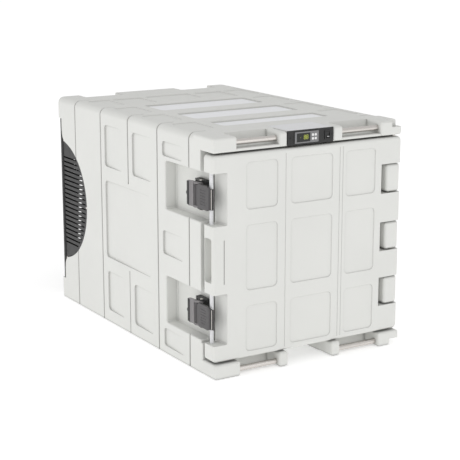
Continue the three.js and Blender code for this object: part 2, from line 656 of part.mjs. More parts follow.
// A finned block: tubes stand out of both ends and shallow channels mark the gaps between fins.
const FAN = { y: 868, z: 335, radius: 72, x: 198, hub: 20, half: 7 };
const CONDENSER = { left: 234, right: 262, front: 794, back: 943, bottom: 228, top: 442 };
const FIN_GAP = { width: 6, pitch: 15, count: 9, depth: 4 };
const finGaps = Array.from({ length: FIN_GAP.count }, (_, i) => {
  const y = CONDENSER.front + 9 + FIN_GAP.pitch * i;
  return box(
    CONDENSER.left - 5, CONDENSER.left + FIN_GAP.depth, y, y + FIN_GAP.width,
    CONDENSER.bottom + 10, CONDENSER.top - 10,
  );
});
const condenserTubes = [270, 310, 350, 390].map((z) => (
  rod('y', 248, z, CONDENSER.front - 5, CONDENSER.back + 5, 5, 8)
));
place('condenser', join(
  cut(
    box(
      CONDENSER.left, CONDENSER.right, CONDENSER.front, CONDENSER.back,
      CONDENSER.bottom, CONDENSER.top,
    ),
    ...finGaps,
  ),
  ...condenserTubes,
), MATERIAL.aluminium);

function fanShroud() {
  const throat = rod('x', FAN.y, FAN.z, 180, 230, FAN.radius + 4, 48);
  const plate = box(214, 218, 788, 948, 222, 448);
  const collar = rod('x', FAN.y, FAN.z, 190, 217, FAN.radius + 7, 48);
  const arms = bothSides((side) => {
    const z = FAN.z + side * (FAN.radius + 20);
    return box(150, 215, FAN.y - 6, FAN.y + 6, z - 3, z + 3);
  });
  const bridge = box(150, 153, FAN.y - 6, FAN.y + 6, FAN.z - 95, FAN.z + 95);
  return join(cut(join(plate, collar), throat), arms, bridge);
}
place('fan_shroud', fanShroud(), MATERIAL.galvanised);
place('fan_motor', join(
  rod('x', FAN.y, FAN.z, 153 + GAP, 186, 24),
  rod('x', FAN.y, FAN.z, 185, 208, 4),
), MATERIAL.enamel);

// A fan whose axis is x: hub, pitched blades and a bore for the shaft.
function fan({ hub, radius, half }, bore) {
  const blades = 5;
  const pitch = 24;
  const bladeOutline = outline([
    [-10, hub - 4], [10, hub - 4], [18, radius - 6], [6, radius], [-14, radius - 4],
  ]);
  const vane = prismX(bladeOutline, -1, 1).rotate([0, 0, pitch]);
  const vanes = Array.from({ length: blades }, (_, i) => vane.rotate([(360 / blades) * i, 0, 0]));
  return cut(join(rod('x', 0, 0, -half, half, hub), ...vanes), rod('x', 0, 0, -60, 60, bore));
}
const condenserFan = fan({ ...FAN, radius: FAN.radius - 1 }, 4.08).translate([FAN.x, FAN.y, FAN.z]);
place('condenser_fan', condenserFan, MATERIAL.black);

place('power_box', join(
  cut(box(-286, -90, 800, 930, 430, 590), box(-284, -92, 802, 928, 429, 588)),
  box(-300, -76, 796, 800.5, 440, 580),
), MATERIAL.galvanised);
const DRIER = { x: 20, y: 900 };
place('filter_drier', join(
  rod('z', DRIER.x, DRIER.y, 130, 215, 13, 20),
  rod('z', DRIER.x, DRIER.y, 118, 228, 5, 12),
), MATERIAL.copper);

// A pipe through the given points, rounded by a smooth curve.
function pipe(points, radius, steps) {
  const section = new THREE.Shape();
  section.absarc(0, 0, radius, 0, 2 * Math.PI);
  const corners = points.map((point) => new THREE.Vector3(...point));
  const extrudePath = new THREE.CatmullRomCurve3(corners, false, 'centripetal');
  return solid(new THREE.ExtrudeGeometry(section, { extrudePath, steps, curveSegments: 4 }));
}
place('discharge_pipe', pipe([
  [-56, 872, 160], [-30, 880, 175], [10, 860, 250], [60, 840, 390],
  [160, 830, 462], [228, 830, 462], [248, 840, 452],
], 4, 20), MATERIAL.copper);
place('liquid_pipe', pipe([
  [248, 880, 223], [240, 886, 204], [200, 900, 192], [120, 915, 180],
  [60, 915, 250], [20, 900, 262], [20, 900, 232],
], 4, 20), MATERIAL.copper);
place('suction_pipe', pipe([
  [-120, 862, 229], [-110, 850, 280], [-60, 820, 360], [-40, 795, 500], [-40, 776, 520],
], 6, 16), MATERIAL.rubber);

// ---- evaporator inside the cabin ----
const EVAP = { half: 175, front: 612, bottom: 400, top: 560, back: CABIN.back - GAP, wall: 2 };
const EVAP_FAN = { x: 0, y: 630, z: 480, radius: 56, hub: 16, half: 6 };

function evaporatorCover() {
  const { half, front, bottom, top, back, wall } = EVAP;
  const inlet = rod('y', EVAP_FAN.x, EVAP_FAN.z, front - PAST, front + 5, EVAP_FAN.radius + 6, 40);
  const outlets = [-120, -60, 0, 60, 120].map((x) => (
    box(x - 22, x + 22, front + 20, back - 14, bottom - PAST, bottom + wall + PAST)
  ));
  return cut(
    box(-half, half, front, back, bottom, top),
    box(-half + wall, half - wall, front + wall, back + PAST, bottom + wall, top - wall),
    inlet, ...outlets,
  );
}
place('evaporator_cover', evaporatorCover(), MATERIAL.aluminium);

const COIL = { half: 158, front: 664, back: 690, bottom: 412, top: 548 };
const coilGaps = Array.from({ length: 10 }, (_, i) => {
  const x = -146 + 30 * i;
  return box(x, x + 12, COIL.front - 4, COIL.front + 5, COIL.bottom + 8, COIL.top - 8);
});
const coilTubes = [430, 465, 500, 535].map((z) => (
  rod('x', 677, z, -COIL.half - 8, COIL.half + 8, 5, 8)
));
place('evaporator_coil', join(
  cut(box(-COIL.half, COIL.half, COIL.front, COIL.back, COIL.bottom, COIL.top), ...coilGaps),
  ...coilTubes,
), MATERIAL.aluminium);
place('evaporator_motor', join(
  rod('y', EVAP_FAN.x, EVAP_FAN.z, 640, 661, 20),
  rod('y', EVAP_FAN.x, EVAP_FAN.z, 621, 641, 3),
  box(-100, 100, 656, 660, EVAP_FAN.z - 8, EVAP_FAN.z + 8),
), MATERIAL.enamel);
const evaporatorFan = fan(EVAP_FAN, 3.08)
  .rotate([0, 0, 90])
  .translate([EVAP_FAN.x, EVAP_FAN.y, EVAP_FAN.z]);
place('evaporator_fan', evaporatorFan, MATERIAL.black);

const WIRE = { half: 1.5, back: 609, spoke: 66 };
const guardRings = [58, 34].map((radius) => cut(
  rod('y', EVAP_FAN.x, EVAP_FAN.z, WIRE.back - 3, WIRE.back, radius + WIRE.half, 24),
  rod('y', EVAP_FAN.x, EVAP_FAN.z, WIRE.back - 4, WIRE.back + 1, radius - WIRE.half, 24),
));
place('fan_guard', join(
  ...guardRings,
  box(-WIRE.spoke, WIRE.spoke, 608, 611.5, EVAP_FAN.z - 2, EVAP_FAN.z + 2),
  box(-2, 2, 608, 611.5, EVAP_FAN.z - WIRE.spoke, EVAP_FAN.z + WIRE.spoke),
), MATERIAL.steel);

const PROBE = { x: 205, z: 520, half: 3 };
const probeLow = PROBE.z - PROBE.half;
const probeHigh = PROBE.z + PROBE.half;
place('temperature_probe', join(
  rod('y', PROBE.x, PROBE.z, 560, 610, PROBE.half, 12),
  box(PROBE.x - PROBE.half, PROBE.x + PROBE.half, 606, 618, probeLow, probeHigh),
  box(PROBE.x, CABIN.half - GAP, 612, 618, probeLow, probeHigh),
), MATERIAL.black);

container.position.y = -(DEPTH - FOOT_PROUD) / 2;
export default container;
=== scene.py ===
"""Looks of the portable refrigerated container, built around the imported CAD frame.

Helpers take millimetres: x to the right of somebody facing the door, y back from the door's face and
z up from the floor. `at` turns them into the frame's metres.
"""
import json
import math

import bmesh
import bpy
from mathutils import Matrix, Vector


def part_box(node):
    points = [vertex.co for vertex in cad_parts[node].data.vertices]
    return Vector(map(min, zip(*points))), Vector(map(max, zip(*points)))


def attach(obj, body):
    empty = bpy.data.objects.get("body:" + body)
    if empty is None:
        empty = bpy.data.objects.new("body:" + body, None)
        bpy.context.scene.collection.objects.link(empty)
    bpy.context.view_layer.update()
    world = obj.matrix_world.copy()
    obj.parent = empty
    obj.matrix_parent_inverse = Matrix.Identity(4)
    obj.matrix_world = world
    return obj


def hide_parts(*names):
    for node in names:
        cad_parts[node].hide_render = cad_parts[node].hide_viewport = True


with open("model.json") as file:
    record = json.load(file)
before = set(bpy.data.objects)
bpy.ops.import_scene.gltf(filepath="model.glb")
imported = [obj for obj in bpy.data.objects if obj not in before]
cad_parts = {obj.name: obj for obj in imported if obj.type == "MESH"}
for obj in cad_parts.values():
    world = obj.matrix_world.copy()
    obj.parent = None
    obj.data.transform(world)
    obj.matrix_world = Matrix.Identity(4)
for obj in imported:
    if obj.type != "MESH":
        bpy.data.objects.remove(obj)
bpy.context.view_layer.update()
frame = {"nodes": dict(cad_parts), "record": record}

MM = 0.001
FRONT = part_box("door_shell")[0].y
FLOOR, TOP = (corner.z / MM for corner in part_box("body_shell"))
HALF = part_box("body_shell")[1].x / MM
REAR = (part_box("body_shell")[1].y - FRONT) / MM


def at(x, y, z):
    return Vector((x * MM, FRONT + y * MM, z * MM))


def span(node):
    """A CAD node's box in the helpers' millimetres: (x0, x1, y0, y1, z0, z1)."""
    lo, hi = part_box(node)
    return (lo.x / MM, hi.x / MM, (lo.y - FRONT) / MM, (hi.y - FRONT) / MM, lo.z / MM, hi.z / MM)


# ---------------------------------------------------------------- mesh helpers
def new_object(name, bm):
    bmesh.ops.recalc_face_normals(bm, faces=bm.faces)
    mesh = bpy.data.meshes.new(name)
    bm.to_mesh(mesh)
    bm.free()
    obj = bpy.data.objects.new(name, mesh)
    bpy.context.scene.collection.objects.link(obj)
    return obj


def loft(name, rings):
    """A closed solid through rings of equal length, capped at both ends."""
    bm = bmesh.new()
    loops = [[bm.verts.new(point) for point in ring] for ring in rings]
    count = len(loops[0])
    for low, high in zip(loops, loops[1:]):
        for i in range(count):
            j = (i + 1) % count
            bm.faces.new((low[i], low[j], high[j], high[i]))
    bm.faces.new(list(reversed(loops[0])))
    bm.faces.new(loops[-1])
    return new_object(name, bm)


def bake(obj):
    graph = bpy.context.evaluated_depsgraph_get()
    mesh = bpy.data.meshes.new_from_object(obj.evaluated_get(graph))
    obj.modifiers.clear()
    obj.data = mesh
    return obj


def combine(base, tools, operation):
    for tool in tools:
        step = base.modifiers.new("step", "BOOLEAN")
        step.operation = operation
        step.solver = "MANIFOLD"
        step.object = tool
    bake(base)
    for tool in tools:
        bpy.data.objects.remove(tool)
    return base


def unite(base, *tools):
    return combine(base, tools, "UNION")


def carve(base, *tools):
    return combine(base, tools, "DIFFERENCE")


def gather(name, objects):
    """Joins separate objects into one mesh without merging them."""
    bm = bmesh.new()
    for obj in objects:
        obj.data.transform(obj.matrix_world)
        bm.from_mesh(obj.data)
        bpy.data.objects.remove(obj)
    return new_object(name, bm)


def brick(x0, x1, y0, y1, z0, z1, radius=0.0, segments=3, along=None):
    """A box with rounded edges: all of them, or only those along 'x', 'y' or 'z'."""
    bm = bmesh.new()
    bmesh.ops.create_cube(bm, size=1.0)
    for vert in bm.verts:
        vert.co = at(
            x1 if vert.co.x > 0 else x0, y1 if vert.co.y > 0 else y0, z1 if vert.co.z > 0 else z0
        )
    if radius:
        edges = list(bm.edges)
        if along:
            axis = "xyz".index(along)
            edges = [e for e in edges if abs((e.verts[0].co - e.verts[1].co)[axis]) > 1e-6]
        bmesh.ops.bevel(
            bm, geom=edges, offset=radius * MM, segments=segments, profile=0.5, affect="EDGES"
        )
    return new_object("brick", bm)


def rod(axis, a, b, start, end, radius, sides=48, rounding=0.0):
    """A cylinder along 'x', 'y' or 'z'; a and b are its other two coordinates in x, y, z order."""
    steps = [(start, radius - rounding), (start + rounding, radius)] if rounding else [(start, radius)]
    steps += [(end - rounding, radius), (end, radius - rounding)] if rounding else [(end, radius)]
    rings = []
    for along, r in steps:
        ring = []
        for i in range(sides):
            turn = 2 * math.pi * i / sides
            p, q = a + r * math.cos(turn), b + r * math.sin(turn)
            ring.append(at(*{"x": (along, p, q), "y": (p, along, q), "z": (p, q, along)}[axis]))
        rings.append(ring)
    return loft("rod", rings)


def prism(points, z0, z1, radius=0.0, segments=2):
    """An outline in the plan (x, y), drawn up from z0 to z1, with its edges rounded."""
    bm = bmesh.new()
    low = [bm.verts.new(at(x, y, z0)) for x, y in points]
    high = [bm.verts.new(at(x, y, z1)) for x, y in points]
    bm.faces.new(low)
    bm.faces.new(high)
    for i in range(len(points)):
        j = (i + 1) % len(points)
        bm.faces.new((low[i], low[j], high[j], high[i]))
    if radius:
        bmesh.ops.recalc_face_normals(bm, faces=bm.faces)
        bmesh.ops.bevel(
            bm, geom=list(bm.edges), offset=radius * MM, segments=segments, profile=0.5,
            affect="EDGES", clamp_overlap=True,
        )
    return new_object("prism", bm)


CORNER_STEPS = 6


def rounded_ring(u0, u1, v0, v1, radius, grow):
    """Points of a rounded rectangle, grown outwards by `grow`."""
    radius = max(radius + grow, 0.05)
    u0, u1, v0, v1 = u0 - grow, u1 + grow, v0 - grow, v1 + grow
    corners = [(u1 - radius, v0 + radius, -90), (u1 - radius, v1 - radius, 0),
               (u0 + radius, v1 - radius, 90), (u0 + radius, v0 + radius, 180)]
    ring = []
    for cu, cv, start in corners:
        for step in range(CORNER_STEPS + 1):
            turn = math.radians(start + 90 * step / CORNER_STEPS)
            ring.append((cu + radius * math.cos(turn), cv + radius * math.sin(turn)))
    return ring


FACE = {
    "left": lambda u, v, h: at(-HALF - h, u, v),
    "right": lambda u, v, h: at(HALF + h, u, v),
    "top": lambda u, v, h: at(u, v, TOP + h),
    "front": lambda u, v, h: at(u, -h, v),
}


def dish_profile(depth, rim, floor):
    """(growth, height) pairs from the floor of a pressed recess to just above its rounded rim."""
    profile = [(-floor * (1 - math.sin(a)), -depth + floor * (1 - math.cos(a)))
               for a in (math.radians(d) for d in (0, 30, 60, 90))]
    profile += [(rim * (1 - math.cos(a)), -rim * (1 - math.sin(a)))
                for a in (math.radians(d) for d in (0, 25, 50, 75))]
    profile.append((rim * 0.76, 1.0))
    return profile


def recess(face, u0, u1, v0, v1, corner, depth, rim=1.2, floor=1.2, ramp=None):
    """A cutter for a rounded rectangular recess in a flat face.

    ramp=(u_shallow, u_deep) makes it deepen along u.
    """
    rings = []
    for grow, height in dish_profile(depth, rim, floor):
        ring = []
        for u, v in rounded_ring(u0, u1, v0, v1, corner, grow):
            h = height
            if ramp and h < 0:
                share = min(max((u - ramp[0]) / (ramp[1] - ramp[0]), 0.0), 1.0)
                h *= 0.10 + 0.90 * share
            ring.append(FACE[face](u, v, h))
        rings.append(ring)
    return loft("recess", rings)


def girdle_groove(y, reach, width=5.0, depth=4.2, rim=1.9, z_low=-4.0, side=-1):
    """A cutter for a groove up one side, over the rounded edge and `reach` across the top."""
    edge = EDGE_RADIUS
    path = [((HALF, z_low), (1, 0), 1.0), ((HALF, TOP - edge), (1, 0), 1.0)]
    for step in range(1, 9):
        turn = math.radians(90 * step / 8)
        normal = (math.cos(turn), math.sin(turn))
        path.append(((HALF - edge + edge * normal[0], TOP - edge + edge * normal[1]), normal, 1.0))
    path.append(((HALF - edge - reach * 0.5, TOP), (0, 1), 0.8))
    path.append(((HALF - edge - reach, TOP), (0, 1), -0.2))
    half = [(width / 2 + rim * 0.76, 1.0)]
    half += [(width / 2 + rim * (1 - math.cos(a)), -rim * (1 - math.sin(a)))
             for a in (math.radians(d) for d in (75, 50, 25, 0))]
    half += [(width / 2, -depth + 1), (width / 2 - 0.3, -depth + 0.3), (width / 2 - 1, -depth)]
    section = half + [(-w, h) for w, h in reversed(half)]
    rings = []
    for (x, z), (nx, nz), share in path:
        ring = []
        for across, height in section:
            h = height * share if height < 0 else height
            h += 0.4 if share < 0 else 0.0
            ring.append(at(side * (x + nx * h), y + across, z + nz * h))
        rings.append(ring)
    return loft("groove", rings)


def tidy_shading(obj, angle=32.0):
    for polygon in obj.data.polygons:
        polygon.use_smooth = True
    obj.data.set_sharp_from_angle(angle=math.radians(angle))
    weighted = obj.modifiers.new("weighted", "WEIGHTED_NORMAL")
    weighted.keep_sharp = True
    weighted.weight = 100
    return obj


def finish_piece(obj, name, material, body, replaces=(), angle=32.0):
    obj.name = name
    obj.data.name = name
    obj.data.materials.clear()
    obj.data.materials.append(material)
    tidy_shading(obj, angle)
    if replaces:
        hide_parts(*replaces)
    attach(obj, body)
    return obj


# ---------------------------------------------------------------- materials
def node_material(name, color, roughness, metallic=0.0):
    material = bpy.data.materials.new(name)
    material.use_nodes = True
    tree = material.node_tree
    shader = tree.nodes["Principled BSDF"]
    shader.inputs["Base Color"].default_value = (*color, 1)
    shader.inputs["Roughness"].default_value = roughness
    shader.inputs["Metallic"].default_value = metallic
    return material, tree, shader


def add_noise(tree, scale, detail=3.0, stretch=(1, 1, 1)):
    place = tree.nodes.new("ShaderNodeTexCoord")
    mapping = tree.nodes.new("ShaderNodeMapping")
    mapping.inputs["Scale"].default_value = stretch
    noise = tree.nodes.new("ShaderNodeTexNoise")
    noise.inputs["Scale"].default_value = scale
    noise.inputs["Detail"].default_value = detail
    tree.links.new(place.outputs["Object"], mapping.inputs["Vector"])
    tree.links.new(mapping.outputs["Vector"], noise.inputs["Vector"])
    return noise


def add_ramp(tree, source, stops):
    ramp = tree.nodes.new("ShaderNodeValToRGB")
    while len(ramp.color_ramp.elements) < len(stops):
        ramp.color_ramp.elements.new(0.5)
    for element, (position, color) in zip(ramp.color_ramp.elements, stops):
        element.position = position
        element.color = (*color, 1)
    tree.links.new(source, ramp.inputs["Fac"])
    return ramp


def add_bump(tree, shader, source, strength, distance):
    bump = tree.nodes.new("ShaderNodeBump")
    bump.inputs["Strength"].default_value = strength
    bump.inputs["Distance"].default_value = distance
    tree.links.new(source, bump.inputs["Height"])
    previous = shader.inputs["Normal"].links
    if previous:
        tree.links.new(previous[0].from_socket, bump.inputs["Normal"])
    tree.links.new(bump.outputs["Normal"], shader.inputs["Normal"])


def paint_groove_shade(tree, color_socket, shader, reach, darkest):
    """Darkens a colour where other surfaces are close: painted shade in grooves and gaps, driven by ambient
    occlusion.
    """
    occlusion = tree.nodes.new("ShaderNodeAmbientOcclusion")
    occlusion.samples = 8
    occlusion.inputs["Distance"].default_value = reach
    shade = add_ramp(tree, occlusion.outputs["AO"], [(0.35, (darkest,) * 3), (0.92, (1, 1, 1))])
    mix = tree.nodes.new("ShaderNodeMix")
    mix.data_type = "RGBA"
    mix.blend_type = "MULTIPLY"
    mix.inputs["Factor"].default_value = 1.0
    tree.links.new(color_socket, mix.inputs["A"])
    tree.links.new(shade.outputs["Color"], mix.inputs["B"])
    tree.links.new(mix.outputs["Result"], shader.inputs["Base Color"])


def moulded(name, color, roughness, variation=0.03, grain=900.0, grain_depth=0.00012, groove_shade=0.0):
    """Moulded plastic: a fine grain, a slow drift of tone, a little roughness variation and, if asked,
    painted shade in grooves.
    """
    material, tree, shader = node_material(name, color, roughness)
    drift = add_noise(tree, 5.0, 4.0)
    dark = tuple(c * (1 - variation) for c in color)
    light = tuple(min(c * (1 + variation), 1.0) for c in color)
    tint = add_ramp(tree, drift.outputs["Fac"], [(0.35, dark), (0.65, light)])
    # painted shade: the base colour is darkened by ambient occlusion in grooves and gaps
    if groove_shade:
        paint_groove_shade(tree, tint.outputs["Color"], shader, 0.012, 1 - groove_shade)
    else:
        tree.links.new(tint.outputs["Color"], shader.inputs["Base Color"])
    wear = add_noise(tree, 60.0, 5.0)
    low, high = (max(roughness + d, 0.02) for d in (-0.06, 0.06))
    gloss = add_ramp(tree, wear.outputs["Fac"], [(0.3, (low,) * 3), (0.7, (high,) * 3)])
    tree.links.new(gloss.outputs["Color"], shader.inputs["Roughness"])
    fine = add_noise(tree, grain, 2.0)
    add_bump(tree, shader, fine.outputs["Fac"], 0.35, grain_depth)
    ripple = add_noise(tree, 22.0, 2.0)
    add_bump(tree, shader, ripple.outputs["Fac"], 0.25, 0.0006)
    return material


def brushed(name, color, roughness, axis=0, scale=90.0):
    """Drawn or brushed metal, its marks running along one axis."""
    material, tree, shader = node_material(name, color, roughness, 1.0)
    stretch = [scale] * 3
    stretch[axis] = scale * 0.02
    marks = add_noise(tree, 8.0, 6.0, stretch)
    low, high = roughness * 0.75, roughness * 1.3
    gloss = add_ramp(tree, marks.outputs["Fac"], [(0.3, (low,) * 3), (0.7, (high,) * 3)])
    tree.links.new(gloss.outputs["Color"], shader.inputs["Roughness"])
    add_bump(tree, shader, marks.outputs["Fac"], 0.15, 0.0002)
    return material


def glowing(name, color, strength):
    material, _, shader = node_material(name, color, 0.4)
    shader.inputs["Emission Color"].default_value = (*color, 1)
    shader.inputs["Emission Strength"].default_value = strength
    return material


# the shell's last argument (0.4) sets how dark the painted shade in its grooves and gaps gets
SHELL = moulded("shell_polyethylene", (0.735, 0.738, 0.712), 0.48, 0.012, groove_shade=0.4)
LOOK = {
    "shell": SHELL,
    "liner": moulded("liner_plastic", (0.80, 0.80, 0.78), 0.4, 0.01),
    "foam": moulded("foam_core", (0.78, 0.68, 0.38), 0.9, 0.08, 300.0, 0.0004),
    "black_plastic": moulded("black_plastic", (0.012, 0.0118, 0.0118), 0.42, 0.15),
    "latch_plastic": moulded("latch_plastic", (0.066, 0.062, 0.064), 0.38, 0.10),
    # lighter grey than the latch plastic: painted highlight for the light caught by the lever's scooped tab
    "lever_plastic": moulded("lever_plastic", (0.210, 0.200, 0.204), 0.36, 0.08),
    "rubber": moulded("gasket_rubber", (0.025, 0.025, 0.026), 0.7, 0.1),
    "stainless": brushed("stainless_tube", (0.66, 0.63, 0.60), 0.28, 0),
    "galvanised": brushed("galvanised_sheet", (0.55, 0.56, 0.57), 0.42, 2, 12.0),
    "aluminium": brushed("aluminium_fins", (0.74, 0.75, 0.76), 0.35, 2),
    "copper": brushed("copper_pipe", (0.72, 0.36, 0.20), 0.3, 1, 40.0),
    "enamel": moulded("black_enamel", (0.012, 0.012, 0.014), 0.22, 0.1),
    "bezel": moulded("controller_bezel", (0.20, 0.20, 0.205), 0.4, 0.05),
    "display": moulded("display_window", (0.006, 0.008, 0.006), 0.12, 0.05, 900.0, 0.00001),
    "button": moulded("button_rubber", (0.82, 0.82, 0.82), 0.45, 0.02),
    # pale bluish sheets in the top panels: painted reflection
    "inlay": moulded("top_painted_reflection", (0.90, 0.905, 0.93), 0.4, 0.02),
    "cover_plate": moulded("cover_plate", (0.745, 0.75, 0.765), 0.35, 0.02),
}
SLOT_OF = {entry["node"]: entry["material_slot"] for entry in frame["record"]["subparts"]}


def dress_cad_nodes():
    """Every carried-over CAD node gets its slot's material and softened edges."""
    for name, obj in frame["nodes"].items():
        obj.data.materials.clear()
        obj.data.materials.append(LOOK[SLOT_OF[name]])
        for polygon in obj.data.polygons:
            polygon.use_smooth = True
        obj.data.set_sharp_from_angle(angle=math.radians(35))
        bevel = obj.modifiers.new("softened", "BEVEL")
        bevel.width = 0.0006
        bevel.segments = 2
        bevel.limit_method = "ANGLE"
        bevel.angle_limit = math.radians(40)
        bevel.harden_normals = False


# ---------------------------------------------------------------- camera and light
SENSOR_MM = 36.0
LENS_MM = 104.267
CAMERA_TILT = 13.355  # degrees below the horizon
CAMERA_TURN = 31.654  # degrees clockwise from looking straight back
WORLD_GLOW = 0.74
FLOOR_GLOW = 0.36


def make_camera():
    """A long lens from the front left, a little above the container."""
    data = bpy.data.cameras.new("camera")
    data.sensor_width = SENSOR_MM
    data.lens = LENS_MM
    camera = bpy.data.objects.new("camera", data)
    camera.location = at(-2113.0, -2995.0, 1255.6)
    camera.rotation_euler = (math.radians(90 - CAMERA_TILT), 0, math.radians(-CAMERA_TURN))
    bpy.context.scene.collection.objects.link(camera)
    bpy.context.scene.camera = camera


def soft_light(name, position, target, size, power, color=(1, 1, 1)):
    data = bpy.data.lights.new(name, "AREA")
    data.shape = "RECTANGLE"
    data.size, data.size_y = size
    data.energy = power
    data.color = color
    lamp = bpy.data.objects.new(name, data)
    lamp.location = at(*position)
    aim = at(*target) - lamp.location
    lamp.rotation_euler = aim.to_track_quat("-Z", "Y").to_euler()
    bpy.context.scene.collection.objects.link(lamp)


def make_studio():
    world = bpy.data.worlds.new("studio")
    world.use_nodes = True
    world.node_tree.nodes["Background"].inputs["Color"].default_value = (1, 1, 1, 1)
    world.node_tree.nodes["Background"].inputs["Strength"].default_value = WORLD_GLOW
    bpy.context.scene.world = world
    bpy.context.scene.view_settings.view_transform = "Standard"
    soft_light("key_left", (-3600, 200, 1500), (-200, 400, 330), (2.4, 2.4), 16)
    soft_light("fill_front", (900, -3600, 1500), (0, 0, 330), (2.6, 2.2), 14)
    floor_material, tree, shader = node_material("pale_floor", (0.93, 0.93, 0.93), 0.9)
    faint = add_noise(tree, 3.0, 2.0)
    tone = add_ramp(tree, faint.outputs["Fac"], [(0.0, (0.92,) * 3), (1.0, (0.95,) * 3)])
    tree.links.new(tone.outputs["Color"], shader.inputs["Base Color"])
    shader.inputs["Emission Color"].default_value = (1, 1, 1, 1)
    shader.inputs["Emission Strength"].default_value = FLOOR_GLOW
    bm = bmesh.new()
    bmesh.ops.create_grid(bm, x_segments=1, y_segments=1, size=30.0)
    floor = new_object("floor", bm)
    floor.data.materials.append(floor_material)


# ---------------------------------------------------------------- shared sizes
EDGE_RADIUS = 20.0
COVER_FRONT = span("rear_cover")[3] - 12.7
BODY_FRONT = span("door_gasket")[3] + 0.3
LATCH_Z = {level: sum(span(f"latch_claw_{level}")[4:]) / 2 for level in ("upper", "lower")}
HINGE_Z = {level: sum(span(f"hinge_lug_{level}")[4:]) / 2 for level in ("upper", "middle", "lower")}
HEADER_Z = 633.0
UNDERSIDE = 43.0
PIN_X, PIN_Y = (sum(span("hinge_pin")[i:i + 2]) / 2 for i in (0, 2))


# ---------------------------------------------------------------- body
def tube_with_round_ends(x0, x1, z0, z1, y0, y1, corner, front, back):
    """A block along y with rounded long edges, and its own rounding at the front and at the back."""
    turns = [math.radians(degrees) for degrees in (0, 22.5, 45, 67.5, 90)]
    rings = [(y0 + front * (1 - math.sin(a)), -front * (1 - math.cos(a))) for a in reversed(turns)]
    rings += [(y1 - back * (1 - math.sin(a)), -back * (1 - math.cos(a))) for a in turns]
    points = []
    for y, grow in rings:
        points.append([at(u, y, v) for u, v in rounded_ring(x0, x1, z0, z1, corner, grow)])
    return loft("tube", points)


def latch_recess(z):
    """Open towards the door, with rounded corners and a rounded rim."""
    return recess("left", 30, 264, z - 70, z + 70, 7, 37, rim=3.5, floor=4)


def foam_room():
    """The hollow in the body for its foam and liner, as in the CAD shell."""
    main = brick(-314, 314, 74, 760, 49, 665)
    skids = [brick(*sorted((side * 84, side * 312)), 74, 760, 8, 60) for side in (-1, 1)]
    unite(main, *skids)
    carve(main, *[brick(-330, -277, 60, 273, z - 77, z + 77) for z in LATCH_Z.values()])
    return main


def body_solid():
    tub = tube_with_round_ends(-HALF, HALF, UNDERSIDE, TOP, BODY_FRONT, REAR, EDGE_RADIUS, 3, 5)
    parts = [
        brick(-HALF, -76, 60, REAR, 0, 90, 4),
        brick(76, HALF, 60, REAR, 0, 90, 4),
        brick(-HALF, -243, 0, 110, HEADER_Z, TOP, 7, 4),
        brick(244, HALF, 0, 110, HEADER_Z, TOP, 7, 4),
        brick(-106, -80, 0, 110, HEADER_Z, TOP, 8, 4),
        brick(75, 109, 0, 110, HEADER_Z, TOP, 8, 4),
        brick(-300, 300, 4, 110, HEADER_Z, 641, 3),
        brick(-81, 76, 6, 110, HEADER_Z, TOP, 0.6),
        brick(-HALF, -237, -10, 110, 0, UNDERSIDE - 1, 6, 4),
        brick(246, HALF, -10, 110, 0, UNDERSIDE - 1, 6, 4),
        brick(-106, -76, -10, 110, 0, UNDERSIDE + 1, 8, 4),
        brick(76, 106, -10, 110, 0, UNDERSIDE + 1, 8, 4),
    ]
    return unite(tub, *parts)


def slope_cut(x0, x1, low, high):
    """A prism along x that leans a pocket's back wall: (y, z) corners from low to high."""
    (y0, z0), (y1, z1) = low, high
    rings = [[at(x, y0, z0), at(x, y1, z1), at(x, y1, z1 + 5), at(x, y0, z1 + 5)] for x in (x0, x1)]
    return loft("slope", rings)


def body_cutters():
    """Cutters in groups; those of one group don't touch each other."""
    cover = span("rear_cover")
    bay = [brick(-308, 308, 766, REAR + 5, 60, 632)]
    seat = [brick(-HALF - 5, HALF + 5, 961, REAR + 5, cover[4] - 0.5, cover[5] + 0.5)]
    mouth = [brick(-244.3, 244.3, BODY_FRONT - 20, 90, 94.7, 579.3)]
    controls = [
        brick(-80.3, 75.3, -3, 4.8, HEADER_Z - 3, TOP + 3),
        brick(-77.4, 75.3, 4.9, 110.3, TOP - 3.3, TOP + 3),
        brick(-53, 19, 4.9, 46, 639.5, 668.5),
        brick(46.5, 64.5, 4.9, 30, 643.5, 665.5),
    ]
    corner = [
        brick(283, HALF + 5, -20, 31, 656, TOP + 5, 2),
        brick(285, HALF + 5, -20, 31, -5, 19, 2),
    ]
    bores = [rod("z", PIN_X, PIN_Y, 10, 700, 6.4, 32)]
    for name in frame["nodes"]:
        if name.startswith("handle_bar"):
            x0, x1, y0, y1, z0, z1 = span(name)
            bores.append(rod("x", (y0 + y1) / 2, (z0 + z1) / 2, x0 - 0.5, x1 + 0.5, (z1 - z0) / 2 + 0.3, 32))
    rear_pockets, slopes = [], []
    for side in (-1, 1):
        x0, x1 = sorted((side * 110, side * 246))
        rear_pockets.append(brick(x0, x1, 925, REAR + 5, 641, TOP + 5, 4))
        rear_pockets.append(brick(x0, x1, 925, REAR + 5, -5, 35, 4))
    slopes.append(slope_cut(-242.5, -106.5, (66, 648), (72, TOP)))
    slopes.append(slope_cut(109.5, 243.5, (66, 648), (72, TOP)))
    return [bay, seat, mouth, controls, corner, bores, rear_pockets, slopes]


GROOVE_YS = (130.0, 312.0, 494.0, 676.0, 858.0)


